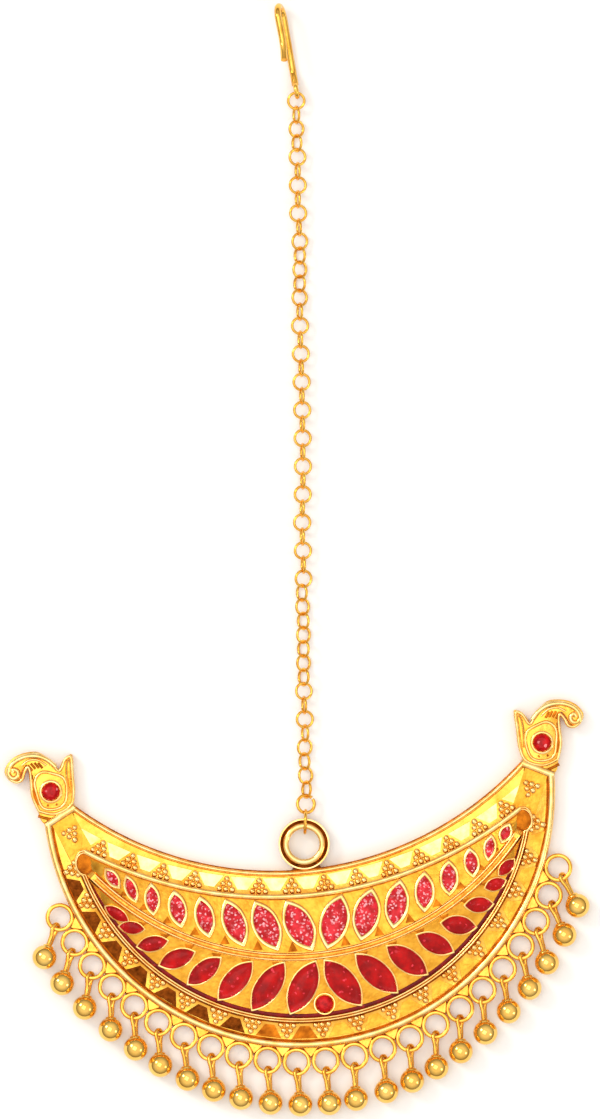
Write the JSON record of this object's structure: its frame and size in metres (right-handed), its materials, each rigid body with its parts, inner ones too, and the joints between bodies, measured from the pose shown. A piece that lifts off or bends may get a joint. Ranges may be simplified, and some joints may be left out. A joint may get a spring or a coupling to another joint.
{
  "type": "maang tikka",
  "caption": "Crescent forehead jewel with bird-head horns, tiers of red marquise cells, bead drops on cast loops, a fine link chain and a hair hook, lying face up.",
  "frame": {"origin": "on the flat back of the crescent's upper band, on the crescent's axis below the bail ring", "axes": "+Z out of the face, +Y along the chain to the hook, +X to the right of the face"},
  "size_m": [0.073, 0.1389, 0.0048],
  "materials": {
    "gilt_casting": "gold-plated casting, polished on its rims and darker in its recesses",
    "gilt_wire": "gold-plated round wire, bright",
    "gilt_bead": "gold-plated polished round beads",
    "glitter_red": "glossy translucent red over a speckled pale foil, in gilt cell walls",
    "enamel_red": "glossy deep red fill in gilt cell walls",
    "red_stone": "glossy faceted red stone"
  },
  "bodies": {
    "root": {"crescent_plate": "gilt_casting", "upper_tier": "glitter_red", "lower_tier": "enamel_red", "centre_stone": "red_stone", "head_stone_left": "red_stone", "head_stone_right": "red_stone", "chain": "gilt_wire", "hook": "gilt_wire", "drop_01": "gilt_bead", "drop_02": "gilt_bead", "drop_03": "gilt_bead", "drop_04": "gilt_bead", "drop_05": "gilt_bead", "drop_06": "gilt_bead", "drop_07": "gilt_bead", "drop_08": "gilt_bead", "drop_09": "gilt_bead", "drop_10": "gilt_bead", "drop_11": "gilt_bead", "drop_12": "gilt_bead", "drop_13": "gilt_bead", "drop_14": "gilt_bead", "drop_15": "gilt_bead", "drop_16": "gilt_bead", "drop_17": "gilt_bead", "drop_18": "gilt_bead", "drop_19": "gilt_bead", "drop_20": "gilt_bead", "drop_21": "gilt_bead", "drop_22": "gilt_bead", "drop_23": "gilt_bead"}
  },
  "joints": []
}
